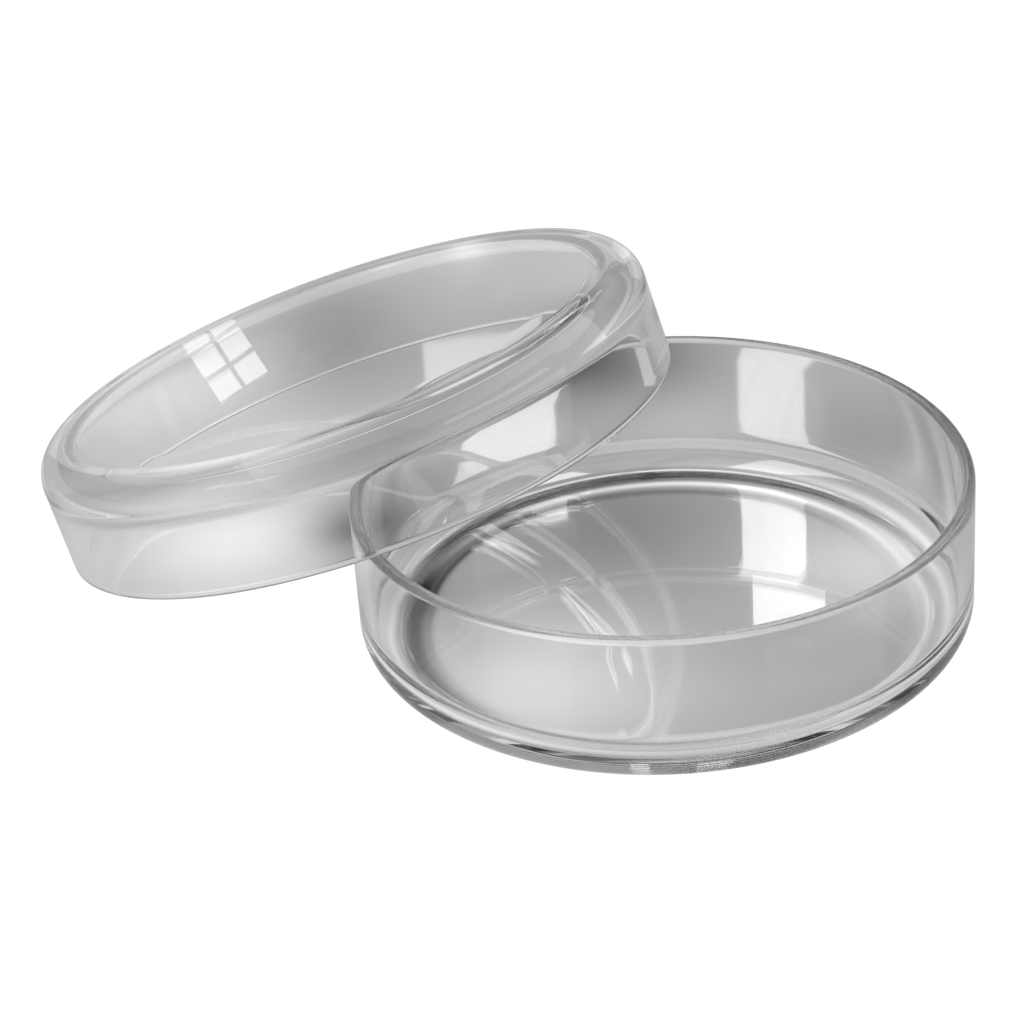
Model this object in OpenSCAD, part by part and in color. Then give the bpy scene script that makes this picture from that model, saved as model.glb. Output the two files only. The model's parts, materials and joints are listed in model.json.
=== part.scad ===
// Glass petri dish. The base dish stands open side up, and its wider lid leans on the dish's rim,
// closed side up, with the lowest point of its open edge on the bench.
// The origin is the centre of the base dish's underside. +Z is up. Millimetres.

/* [Glass] */
// Outer diameter of the lid
lid_d = 100; // [90:1:120]
// Thickness of the walls, the floor and the lid's top
glass_t = 2; // [1.4:0.1:2.6]
// Radial gap between the lid's skirt and the base dish's wall when the dish is closed
closing_gap = 1.5; // [0.8:0.1:3]

/* [Base dish] */
// Height of the base dish
base_h = 24; // [18:0.5:30]
// Outer radius of the rounded bottom corner
base_corner_r = 4; // [3:0.1:6]
// Inner radius of the rounded bottom corner
base_fillet_r = 5.5; // [3.5:0.1:7]

/* [Lid] */
// Height of the lid
lid_h = 19; // [14:0.5:24]
// Outer radius of the rounded top corner
lid_corner_r = 5; // [4:0.1:7]
// Inner radius of the rounded top corner
lid_fillet_r = 6; // [4:0.1:7]

/* [Resting place] */
// How far up the lid's edge the rim touches it: 0 is its middle, 1 is its top
touch_point = 0.62; // [0.4:0.01:0.85]
// Direction in plan, from the lid's middle to the dish's, counted from +X
lean_direction = -31; // [-180:1:180]

/* [Hidden] */
$fn = 180;

// Extra height where the two sloping edges cross, so that they clear each other
crossing_gap = 0.15;

lid_r = lid_d / 2;
base_r = lid_r - glass_t - closing_gap;

// The rounded edges of both pieces are tubes of glass: these are the radii of their centre circles
edge_r = glass_t / 2;
lid_edge_circle_r = lid_r - edge_r;
base_rim_circle_r = base_r - edge_r;

// The lid's tilt takes its edge circle from the bench up to the touch points on the rim
edge_rise = base_h + crossing_gap;
lid_tilt = asin(edge_rise / (lid_edge_circle_r * (1 + touch_point)));
lid_edge_height = edge_r + lid_edge_circle_r * sin(lid_tilt);

// Plan distance between the two middles, from the half chord that both circles share
half_chord = lid_edge_circle_r * sqrt(1 - pow(touch_point, 2));
lid_reach = lid_edge_circle_r * touch_point * cos(lid_tilt)
    + sqrt(pow(base_rim_circle_r, 2) - pow(half_chord, 2));

// Half section of a round cup, open side up: x is the radius and y the height
module cup_section(r, h, corner_r, fillet_r) {
    difference() {
        union() {
            square([r - corner_r, h - edge_r]);
            translate([0, corner_r]) square([r, h - edge_r - corner_r]);
            intersection() {
                translate([r - corner_r, corner_r]) circle(r = corner_r);
                square([r, corner_r]);
            }
        }
        translate([0, glass_t]) square([r - glass_t - fillet_r, h]);
        translate([0, glass_t + fillet_r]) square([r - glass_t, h]);
        translate([r - glass_t - fillet_r, glass_t + fillet_r]) circle(r = fillet_r);
    }
    translate([r - edge_r, h - edge_r]) circle(r = edge_r);
}

module cup(r, h, corner_r, fillet_r) {
    rotate_extrude() cup_section(r, h, corner_r, fillet_r);
}

module base_dish() {
    color([0.82, 0.84, 0.85, 0.35]) cup(base_r, base_h, base_corner_r, base_fillet_r);
}

// The lid is a cup turned over, so its edge circle lies in the plane that tilts
module lid() {
    color([0.86, 0.88, 0.89, 0.35])
        rotate([0, 0, lean_direction])
            translate([-lid_reach, 0, lid_edge_height])
                rotate([0, -lid_tilt, 0])
                    translate([0, 0, lid_h - edge_r])
                        rotate([180, 0, 0])
                            cup(lid_r, lid_h, lid_corner_r, lid_fillet_r);
}

base_dish();
lid();
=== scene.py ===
import bpy
import json
import math
import numpy as np
from mathutils import Matrix, Vector


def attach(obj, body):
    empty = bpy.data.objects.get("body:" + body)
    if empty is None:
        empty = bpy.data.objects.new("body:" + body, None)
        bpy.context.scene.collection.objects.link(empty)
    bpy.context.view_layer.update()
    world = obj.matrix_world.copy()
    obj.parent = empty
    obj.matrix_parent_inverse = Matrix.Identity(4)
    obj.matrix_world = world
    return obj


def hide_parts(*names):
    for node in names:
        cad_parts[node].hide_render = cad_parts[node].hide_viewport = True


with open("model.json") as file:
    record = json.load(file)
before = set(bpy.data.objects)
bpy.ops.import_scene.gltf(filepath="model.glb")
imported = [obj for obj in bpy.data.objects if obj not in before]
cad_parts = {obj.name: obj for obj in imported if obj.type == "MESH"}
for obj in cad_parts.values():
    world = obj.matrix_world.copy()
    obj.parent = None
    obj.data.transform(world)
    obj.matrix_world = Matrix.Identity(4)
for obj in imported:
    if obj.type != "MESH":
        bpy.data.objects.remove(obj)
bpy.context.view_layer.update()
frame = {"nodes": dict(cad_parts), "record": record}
mm = 0.001


class Sock:
    # one socket of a node tree, so that sums of sockets and numbers add Math nodes

    def __init__(self, tree, link):
        self.tree = tree
        self.link = link

    def math(self, operation, other=0.0):
        # one Math node, of this socket and the other value
        return self.tree.node("ShaderNodeMath", dict(operation=operation), {0: self, 1: other})[0]

    def __add__(self, other):
        return self.math("ADD", other)

    def __radd__(self, other):
        return self.math("ADD", other)

    def __mul__(self, other):
        return self.math("MULTIPLY", other)

    def __rmul__(self, other):
        return self.math("MULTIPLY", other)

    def __sub__(self, other):
        return self.math("SUBTRACT", other)

    def __rsub__(self, other):
        return (self * -1.0).math("ADD", other)

    def __pow__(self, other):
        return self.math("POWER", other)

    def clamp(self, low, high):
        # the larger of this and low, then the smaller of that and high
        return self.math("MAXIMUM", low).math("MINIMUM", high)


class Tree:
    # a material's or the world's nodes

    def __init__(self, owner):
        owner.use_nodes = True
        self.tree = owner.node_tree
        self.tree.nodes.clear()

    def node(self, kind, settings, inputs):
        # one node with its settings, and its inputs linked to sockets or set to values
        made = self.tree.nodes.new(kind)
        for name, value in settings.items():
            setattr(made, name, value)
        for name, value in inputs.items():
            if isinstance(value, Sock):
                self.tree.links.new(value.link, made.inputs[name])
            else:
                made.inputs[name].default_value = value
        return [Sock(self, out) for out in made.outputs]

    def mix(self, share, low, high):
        # low * (1 - share) + high * share, for two colours
        return self.node("ShaderNodeMix", dict(data_type="RGBA"), {0: share, 6: low, 7: high})[2]


def grey(value):
    # the same value in red, green and blue
    return (value, value, value, 1.0)


dish = dict(name="clear_base_dish", node="base_dish", body="dish", slot="base_glass",
            wall=2 * mm, cornerR=4 * mm, filletR=5.5 * mm,
            wallWave=0.035 * mm, floorWave=0.004 * mm, seed=3)
cover = dict(name="clear_lid", node="lid", body="cover", slot="lid_glass",
             wall=2 * mm, cornerR=5 * mm, filletR=6 * mm,
             wallWave=0.035 * mm, floorWave=0.006 * mm, seed=8)
steps = dict(around=800, flat=10, corner=24, wall=6, rim=36)
wave = dict(fewestLobes=2, mostLobes=9, fade=1.3, mostTwist=6, wallFrom=0.88, wallOver=0.1)


def straight(a, b, count):
    # (1 - t) * a + t * b, for t evenly spaced from 0 up to but not 1
    t = np.linspace(0, 1, count, endpoint=False)[:, None]
    return (1 - t) * np.array(a) + t * np.array(b)


def bow(centre, radius, start, end, count):
    # centre + radius * (cos t, sin t), for t from start up to but not end, in degrees
    t = np.radians(np.linspace(start, end, count, endpoint=False))
    return np.stack([centre[0] + radius * np.cos(t), centre[1] + radius * np.sin(t)], 1)


def cupOutline(radius, height, wall, cornerR, filletR):
    # half section of a cup, open side up: out along the underside, round the corner, up the wall,
    # over the half round of the rim, down the inside, round the inner corner and back to the axis
    edge = wall / 2
    inner = radius - wall
    parts = [
        straight((0, 0), (radius - cornerR, 0), steps["flat"]),
        bow((radius - cornerR, cornerR), cornerR, -90, 0, steps["corner"]),
        straight((radius, cornerR), (radius, height - edge), steps["wall"]),
        bow((radius - edge, height - edge), edge, 0, 180, steps["rim"]),
        straight((inner, height - edge), (inner, wall + filletR), steps["wall"]),
        bow((inner - filletR, wall + filletR), filletR, 0, -90, steps["corner"]),
        straight((inner - filletR, wall), (0, wall), steps["flat"]),
        np.array([(0.0, wall)]),
    ]
    return np.concatenate(parts)


def waves(outline, turn, radius, piece):
    # the sum of cos(lobes * turn + phase + twist * along the outline) / lobes ** fade, times
    # wallWave on the wall, and times floorWave * (distance out / radius) squared on the flats
    dice = np.random.default_rng(piece["seed"])
    along = np.linspace(0, 1, len(outline))[:, None]
    total = np.zeros((len(outline), len(turn)))
    for lobes in range(wave["fewestLobes"], wave["mostLobes"] + 1):
        phase = dice.uniform(0, 2 * math.pi)
        twist = dice.uniform(-wave["mostTwist"], wave["mostTwist"])
        total = total + np.cos(lobes * turn[None, :] + phase + twist * along) / lobes ** wave["fade"]
    out = np.clip(outline[:, 0] / radius, 0, 1)[:, None]
    onWall = np.clip((out - wave["wallFrom"]) / wave["wallOver"], 0, 1)
    size = piece["floorWave"] * out ** 2 * (1 - onWall) + piece["wallWave"] * onWall
    return total * size


def buildCup(piece, foot, axis):
    # the outline plus the waves along its outward normal, turned round the axis: (r cos, r sin, z).
    # The waves are first lowered by their highest, so that no point stands outside the CAD's skin,
    # and each pole is closed with a fan
    cad = frame["nodes"][piece["node"]]
    corners = np.zeros(len(cad.data.vertices) * 3)
    cad.data.vertices.foreach_get("co", corners)
    place = axis.to_track_quat("Z", "Y").to_matrix()
    local = (corners.reshape(-1, 3) - np.array(foot)) @ np.array(place)
    radius = float(np.hypot(local[:, 0], local[:, 1]).max())
    height = float(local[:, 2].max())
    outline = cupOutline(radius, height, piece["wall"], piece["cornerR"], piece["filletR"])
    step = np.gradient(outline, axis=0)
    step /= np.linalg.norm(step, axis=1)[:, None]
    around = steps["around"]
    turn = np.linspace(0, 2 * math.pi, around, endpoint=False)
    lift = waves(outline, turn, radius, piece)
    lift -= lift.max()
    lift[0] = lift[0].mean()
    lift[-1] = lift[-1].mean()
    r = outline[:, 0:1] + lift * step[:, 1:2]
    z = outline[:, 1:2] - lift * step[:, 0:1]
    r[0] = 0
    r[-1] = 0
    grid = np.stack([r * np.cos(turn), r * np.sin(turn), z], -1)
    points = np.concatenate([grid[0, :1], grid[1:-1].reshape(-1, 3), grid[-1, :1]])
    points = points @ np.array(place).T + np.array(foot)
    rings = len(outline) - 2
    here = np.arange(around)
    after = (here + 1) % around
    low = 1 + np.arange(rings - 1)[:, None] * around
    high = low + around
    quads = np.stack([low + here, low + after, high + after, high + here], -1).reshape(-1, 4)
    top = 1 + (rings - 1) * around
    pole = len(points) - 1
    firstFan = np.stack([np.zeros(around, int), 1 + after, 1 + here], 1)
    lastFan = np.stack([np.full(around, pole), top + here, top + after], 1)
    mesh = bpy.data.meshes.new(piece["name"])
    mesh.from_pydata(points.tolist(), [], quads.tolist() + firstFan.tolist() + lastFan.tolist())
    mesh.polygons.foreach_set("use_smooth", [True] * len(mesh.polygons))
    mesh.update()
    made = bpy.data.objects.new(piece["name"], mesh)
    bpy.context.scene.collection.objects.link(made)
    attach(made, piece["body"])
    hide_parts(piece["node"])
    print(piece["name"], "radius", round(radius, 5), "height", round(height, 5), "faces", len(mesh.polygons))
    return made


glassLook = dict(tint=0.96, hazeTint=0.93, ior=1.473, absorbed=5.0, haze=0.03,
                 rippleScale=60.0, rippleDetail=1.0, rippleDepth=0.004 * mm,
                 smudgeScale=35.0, smudgeDetail=4.0, smudgeFrom=0.52, smudgeGain=6.0)


def clearGlass(name, look):
    # clear pressed glass: faint ripples in the skin, and wiped smudges where it is a little duller,
    # smudge = (noise - smudgeFrom) * smudgeGain, held between 0 and 1
    made = bpy.data.materials.new(name)
    tree = Tree(made)
    place = tree.node("ShaderNodeTexCoord", {}, {})[3]
    ripple = tree.node("ShaderNodeTexNoise", {}, {
        "Vector": place, "Scale": look["rippleScale"], "Detail": look["rippleDetail"]})[0]
    cloud = tree.node("ShaderNodeTexNoise", {}, {
        "Vector": place, "Scale": look["smudgeScale"], "Detail": look["smudgeDetail"]})[0]
    smudge = ((cloud - look["smudgeFrom"]) * look["smudgeGain"]).clamp(0.0, 1.0)
    skin = tree.node("ShaderNodeBump", {}, {
        "Strength": 1.0, "Distance": look["rippleDepth"], "Height": ripple})[0]
    shader = tree.node("ShaderNodeBsdfPrincipled", {}, {
        "Base Color": tree.mix(smudge, grey(look["tint"]), grey(look["hazeTint"])),
        "Roughness": smudge * look["haze"], "IOR": look["ior"],
        "Transmission Weight": 1.0, "Normal": skin})[0]
    body = tree.node("ShaderNodeVolumeAbsorption", {}, {"Color": grey(0.0), "Density": look["absorbed"]})[0]
    tree.node("ShaderNodeOutputMaterial", {}, {"Surface": shader, "Volume": body})
    return made


mounts = {m["name"]: m for m in frame["record"]["mounts"]}
baseMount = mounts["base_underside"]
lidMount = mounts["lid_top"]
base = buildCup(dish, Vector(baseMount["pos_m"]), -Vector(baseMount["axis"]))
lid = buildCup(cover, Vector(lidMount["pos_m"]), -Vector(lidMount["axis"]))
base.data.materials.append(clearGlass("baseGlass", glassLook))
lid.data.materials.append(clearGlass("lidGlass", glassLook))

for piece in (base, lid):
    # the glass is left out of shadow and diffuse rays: it casts no shadow and the floor stays evenly pale
    piece.visible_diffuse = False
    piece.visible_shadow = False
print("glass pieces made")

studio = dict(floorSize=6.0, floorGap=0.3 * mm, paper=0.95, paperRoughness=0.9, fill=1.08,
              airThrough=0.42, airReflected=0.10, airOver=0.03, airFrom=0.1, airFade=0.30, bounces=64)
bench = dict(tone=0.46, polish=0.035, ior=1.9, pools=[
    # x, y, size and gain of each soft pool of painted light or painted shade on the bench
    (-0.020, -0.020, 0.018, 0.40), (0.004, -0.024, 0.016, 0.10), (0.032, 0.010, 0.014, 0.32),
    (-0.010, 0.026, 0.020, -0.17), (-0.036, 0.006, 0.007, -0.10), (0.005, 0.062, 0.012, 0.08),
    (-0.045, 0.040, 0.012, -0.15), (0.036, 0.054, 0.014, -0.10), (-0.055, -0.010, 0.011, 0.24),
    (0.056, -0.010, 0.013, 0.14), (-0.088, 0.080, 0.019, 0.36), (-0.060, 0.058, 0.012, 0.14),
    (-0.046, 0.092, 0.024, -0.15), (0.010, 0.118, 0.020, 0.14), (-0.070, 0.029, 0.018, 0.46),
    (-0.115, 0.012, 0.022, 0.22), (-0.050, 0.030, 0.008, -0.36), (-0.010, 0.090, 0.018, -0.38),
], rings=[
    # radius, width, gain, azimuth where it is strongest and how narrow that stretch is: painted here,
    # because the glass casts no shadow, for the shade and bright lines that a wall throws round its foot
    (0.0380, 0.0016, -0.42, -90, 2.5), (0.0400, 0.0016, -0.42, -130, 4.0), (0.0418, 0.0020, -0.85, -5, 3.0),
    (0.0362, 0.0006, -0.22, -60, 6.0), (0.0382, 0.0008, 0.60, 10, 3.0), (0.0354, 0.0008, -0.16, 15, 5.0),
    (0.0435, 0.0010, 0.24, -90, 2.0), (0.0450, 0.0012, 0.40, 80, 3.0), (0.0400, 0.0010, 0.30, 95, 4.0),
])
farWall = dict(radius=0.95, turn=(-32, 12), height=(0.0, 0.17), tone=0.66, pools=[
    # x, y, z, size and gain of each soft light or dark stretch of the wall
    (-0.37, 0.87, 0.05, 0.045, 0.08), (-0.26, 0.91, 0.06, 0.035, -0.34), (-0.19, 0.93, 0.06, 0.010, 0.95),
    (-0.12, 0.94, 0.10, 0.030, 0.10),
])
windows = [
    # name, distance, from and to azimuth in degrees off +Y towards +X, lower and upper height, glow,
    # panes across and up
    ("tallWindow", 0.90, 2.8, 5.1, 0.385, 0.575, 2.4, 1, 1),
    ("leanWindow", 0.90, -7.0, -2.8, 0.395, 0.500, 3.0, 1, 1),
    ("lowWindow", 0.93, -19.8, -18.1, 0.026, 0.064, 1.4, 2, 3),
    ("backGlow", 1.20, -40, 75, 0.86, 1.50, 1.1, 1, 1),
    ("sideLight", 1.20, 95, 145, 0.45, 0.75, 2.0, 1, 1),
    ("sideGlow", 1.20, 90, 160, 0.02, 0.12, 1.2, 1, 1),
    ("frontLight", 1.20, 215, 250, 0.60, 0.80, 2.0, 1, 1),
]
overhead = dict(height=1.5, half=1.3, glow=1.0)
paneGap = 0.15        # share of a pane that its bar covers
stripSteps = 24       # steps across a curved strip


def softPools(tree, tone, pools):
    # tone plus gain * exp(-(distance to the pool / size) squared), for each pool
    place = tree.node("ShaderNodeTexCoord", {}, {})[3]
    total = tone
    for *spot, size, gain in pools:
        spot = tuple(spot) + (0.0,) * (3 - len(spot))
        away = tree.node("ShaderNodeVectorMath", dict(operation="DISTANCE"), {0: place, 1: spot})[1]
        total = total + ((away * (1 / size)) ** 2 * -1).math("EXPONENT") * gain
    return total


def softRings(tree, tone, rings):
    # tone plus gain * exp(-((distance from the axis - radius) / width) squared) * side ** narrow, for each
    # ring, where side goes from 1 at its own azimuth to 0 opposite
    place = tree.node("ShaderNodeTexCoord", {}, {})[3]
    far = tree.node("ShaderNodeVectorMath", dict(operation="LENGTH"), {0: place})[1]
    total = tone
    for radius, width, gain, azimuth, narrow in rings:
        way = (math.sin(math.radians(azimuth)), math.cos(math.radians(azimuth)), 0.0)
        ahead = tree.node("ShaderNodeVectorMath", dict(operation="DOT_PRODUCT"), {0: place, 1: way})[1]
        side = (ahead.math("DIVIDE", far) * 0.5 + 0.5).clamp(0.0, 1.0)
        band = (((far - radius) * (1 / width)) ** 2 * -1).math("EXPONENT")
        total = total + band * side ** narrow * gain
    return total


def stageMesh(name, points, faces, material):
    # a thing of the stage, which isn't part of the object
    mesh = bpy.data.meshes.new(name)
    mesh.from_pydata(points, [], faces)
    made = bpy.data.objects.new(name, mesh)
    bpy.context.scene.collection.objects.link(made)
    mesh.materials.append(material)
    return made


def flat(name, height, half, material):
    # a level square, half its side each way from the axis
    corners = [(-half, -half, height), (half, -half, height), (half, half, height), (-half, half, height)]
    return stageMesh(name, corners, [(0, 1, 2, 3)], material)


def curved(name, radius, start, end, low, high, material):
    # an upright strip bent round the axis: (radius * sin, radius * cos) of the azimuth, at low and at high
    turn = np.radians(np.linspace(start, end, stripSteps + 1))
    line = np.stack([radius * np.sin(turn), radius * np.cos(turn)], 1)
    points = np.concatenate([np.insert(line, 2, low, 1), np.insert(line, 2, high, 1)])
    here = np.arange(stripSteps)
    above = here + stripSteps + 1
    faces = np.stack([here, here + 1, above + 1, above], 1)
    return stageMesh(name, points.tolist(), faces.tolist(), material)


def onlyInGlass(thing):
    # seen in reflections and through the glass, never by the camera
    thing.visible_camera = False
    thing.visible_diffuse = False
    thing.visible_shadow = False


def glowing(name, tone, pools):
    # a surface that gives off its tone plus its pools
    made = bpy.data.materials.new(name)
    tree = Tree(made)
    strength = softPools(tree, tone, pools)
    glow = tree.node("ShaderNodeEmission", {}, {"Color": grey(1.0), "Strength": strength})[0]
    tree.node("ShaderNodeOutputMaterial", {}, {"Surface": glow})
    return made


def palePaper():
    # matt and nearly white
    made = bpy.data.materials.new("palePaper")
    tree = Tree(made)
    shader = tree.node("ShaderNodeBsdfPrincipled", {}, {
        "Base Color": grey(studio["paper"]), "Roughness": studio["paperRoughness"]})[0]
    tree.node("ShaderNodeOutputMaterial", {}, {"Surface": shader})
    return made


def polishedBench():
    # tone plus pools of painted light and shade plus rings of painted shade and bright lines, held between 0
    # and 1 and given off by the bench itself, below a clear polish
    made = bpy.data.materials.new("polishedBench")
    tree = Tree(made)
    # the painted light and shade of the pools and rings, given off as the bench's glow
    tone = softRings(tree, softPools(tree, bench["tone"], bench["pools"]), bench["rings"])
    shader = tree.node("ShaderNodeBsdfPrincipled", {}, {
        "Base Color": grey(0.0), "Roughness": bench["polish"], "IOR": bench["ior"],
        "Emission Color": tree.mix(tone, grey(0.0), grey(1.0)), "Emission Strength": 1.0})[0]
    tree.node("ShaderNodeOutputMaterial", {}, {"Surface": shader})
    return made


def setFloor():
    # two floors: pale paper that only the camera and the diffuse light meet, and just over it a hidden
    # bench that only reflections and refractions in the glass meet
    half = studio["floorSize"] / 2
    gap = studio["floorGap"]
    paper = flat("paleFloor", -2 * gap, half, palePaper())
    paper.visible_glossy = False
    paper.visible_transmission = False
    onlyInGlass(flat("benchTop", -gap, half, polishedBench()))


def setWindows():
    # the overhead panel, the far wall, and the windows: each pane is an equal part of its window,
    # less paneGap of it on the far and upper side where there is more than one
    overheadGlow = glowing("overheadGlow", overhead["glow"], [])
    onlyInGlass(flat("overhead", overhead["height"], overhead["half"], overheadGlow))
    wallGlow = glowing("wallGlow", farWall["tone"], farWall["pools"])
    onlyInGlass(curved("farWall", farWall["radius"], *farWall["turn"], *farWall["height"], wallGlow))
    for name, radius, start, end, low, high, glow, across, up in windows:
        paneGlow = glowing(name + "Glow", glow, [])
        wide = (end - start) / across
        tall = (high - low) / up
        shown = 1 - paneGap if across * up > 1 else 1
        for i in range(across * up):
            left = start + wide * (i % across)
            foot = low + tall * (i // across)
            onlyInGlass(curved(name + str(i), radius, left, left + wide * shown,
                               foot, foot + tall * shown, paneGlow))


def setAir():
    # fill for camera and diffuse rays. For the others, airThrough in the glass or airReflected off it near
    # the horizon, and airOver higher up, with near = 1 - (rise - airFrom) / airFade, held between 0 and 1
    world = bpy.data.worlds.new("studioAir")
    bpy.context.scene.world = world
    tree = Tree(world)
    rays = tree.node("ShaderNodeLightPath", {}, {})
    byCamera = rays[0]
    byDiffuse = rays[2]
    through = rays[6]
    direct = byCamera.math("MAXIMUM", byDiffuse)
    way = tree.node("ShaderNodeTexCoord", {}, {})[0]
    rise = tree.node("ShaderNodeSeparateXYZ", {}, {0: way})[2]
    near = (1 - (rise - studio["airFrom"]) * (1 / studio["airFade"])).clamp(0.0, 1.0)
    seen = through * studio["airThrough"] + (1 - through) * studio["airReflected"]
    dim = seen * near + studio["airOver"] * (1 - near)
    bright = direct * studio["fill"] + (1 - direct) * dim
    shade = tree.node("ShaderNodeBackground", {}, {"Color": grey(1.0), "Strength": bright})[0]
    tree.node("ShaderNodeOutputWorld", {}, {"Surface": shade})
    bpy.context.scene.view_settings.view_transform = "Standard"


setFloor()
setWindows()
setAir()
cycles = bpy.context.scene.cycles
cycles.max_bounces = studio["bounces"]
cycles.transmission_bounces = studio["bounces"]
cycles.glossy_bounces = studio["bounces"]
print("studio set, windows", len(windows))

shot = dict(aim=(-0.023, 0.0116, 0.012), distance=0.4635, azimuth=3.27, elevation=29.6, roll=-4.3,
            lens=105.5, sensor=36)


def placeCamera():
    # looks at aim from distance away, azimuth degrees round from -Y and elevation degrees up, then rolled
    data = bpy.data.cameras.new("camera")
    data.lens = shot["lens"]
    data.sensor_width = shot["sensor"]
    made = bpy.data.objects.new("camera", data)
    bpy.context.scene.collection.objects.link(made)
    turn = (Matrix.Rotation(math.radians(shot["azimuth"]), 4, "Z")
            @ Matrix.Rotation(math.radians(90 - shot["elevation"]), 4, "X"))
    back = turn @ Vector((0, 0, shot["distance"]))
    made.matrix_world = (Matrix.Translation(Vector(shot["aim"]) + back) @ turn
                         @ Matrix.Rotation(math.radians(shot["roll"]), 4, "Z"))
    bpy.context.scene.camera = made
    print("camera at", [round(v, 4) for v in made.matrix_world.translation])


placeCamera()
